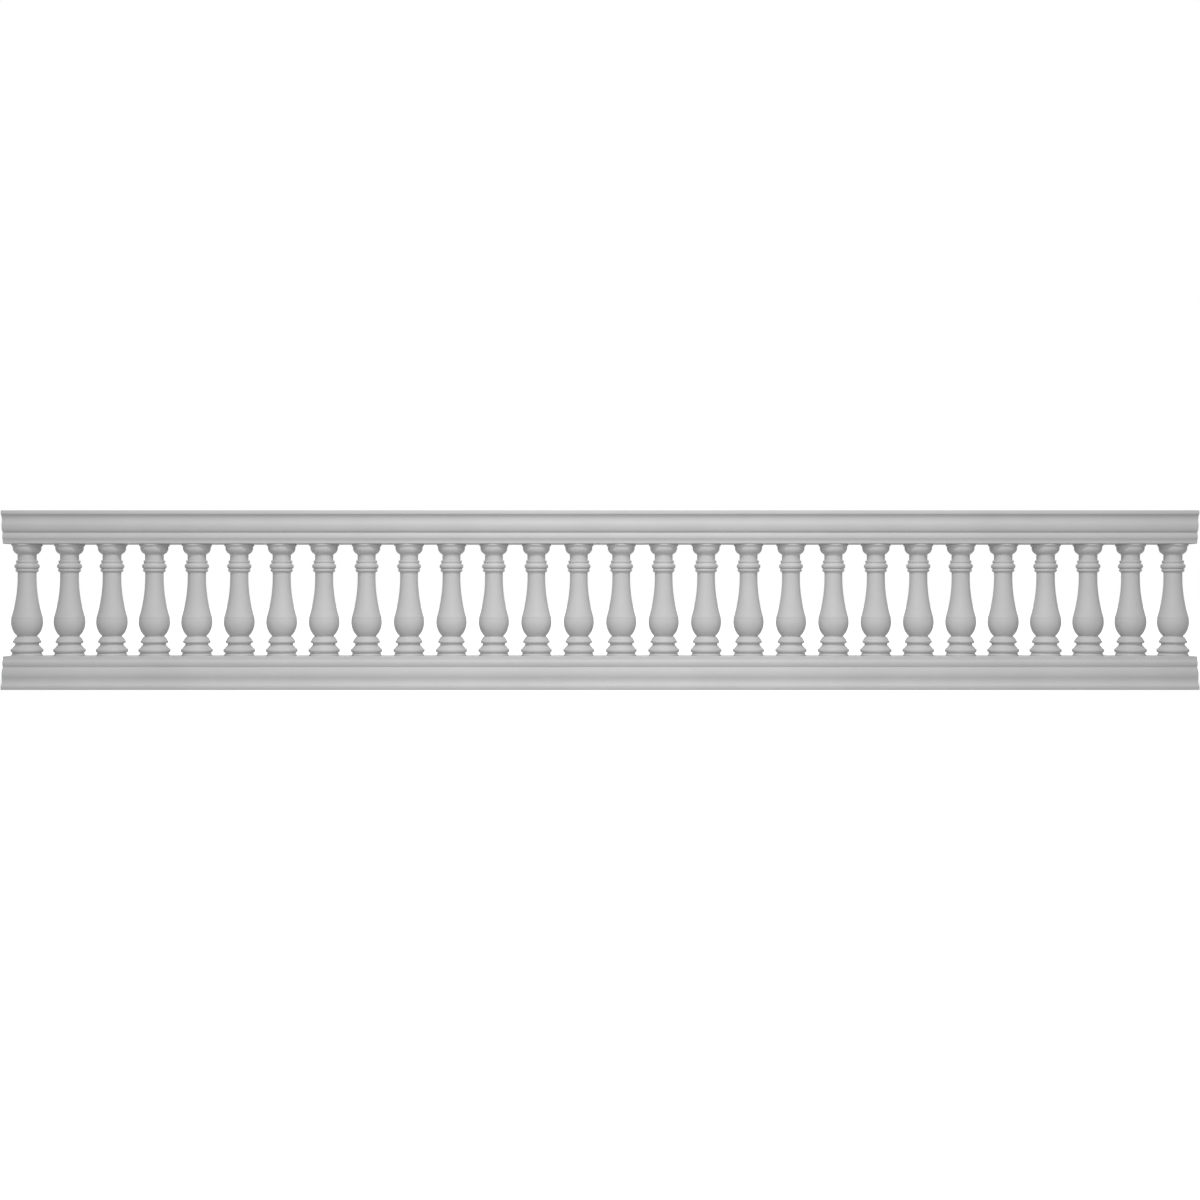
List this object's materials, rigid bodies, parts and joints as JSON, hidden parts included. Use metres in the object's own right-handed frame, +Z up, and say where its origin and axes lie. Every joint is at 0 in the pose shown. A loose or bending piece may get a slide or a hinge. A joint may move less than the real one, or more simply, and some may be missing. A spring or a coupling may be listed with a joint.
{
  "type": "fiberglass balustrade",
  "caption": "Straight run of classical balustrade: turned vase balusters on core pipes between a moulded bottom rail and the same moulding as a top rail.",
  "frame": {"origin": "on the ground, under the middle of the bottom rail's flat underside", "axes": "+X along the rails, +Y through the balustrade, +Z up; front and back are alike"},
  "size_m": [3.6576, 0.127, 0.5482],
  "materials": {
    "gelcoat": "satin pale grey gelcoat on moulded fiberglass",
    "pipe": "smooth warm grey extruded pipe"
  },
  "bodies": {
    "root": {"baluster_01": "gelcoat", "baluster_02": "gelcoat", "baluster_03": "gelcoat", "baluster_04": "gelcoat", "baluster_05": "gelcoat", "baluster_06": "gelcoat", "baluster_07": "gelcoat", "baluster_08": "gelcoat", "baluster_09": "gelcoat", "baluster_10": "gelcoat", "baluster_11": "gelcoat", "baluster_12": "gelcoat", "baluster_13": "gelcoat", "baluster_14": "gelcoat", "baluster_15": "gelcoat", "baluster_16": "gelcoat", "baluster_17": "gelcoat", "baluster_18": "gelcoat", "baluster_19": "gelcoat", "baluster_20": "gelcoat", "baluster_21": "gelcoat", "baluster_22": "gelcoat", "baluster_23": "gelcoat", "baluster_24": "gelcoat", "baluster_25": "gelcoat", "baluster_26": "gelcoat", "baluster_27": "gelcoat", "baluster_28": "gelcoat", "bottom_rail": "gelcoat", "core_pipes_01_to_04": "pipe", "core_pipes_05_to_08": "pipe", "core_pipes_09_to_12": "pipe", "core_pipes_13_to_16": "pipe", "core_pipes_17_to_20": "pipe", "core_pipes_21_to_24": "pipe", "core_pipes_25_to_28": "pipe", "top_rail": "gelcoat"}
  },
  "joints": []
}
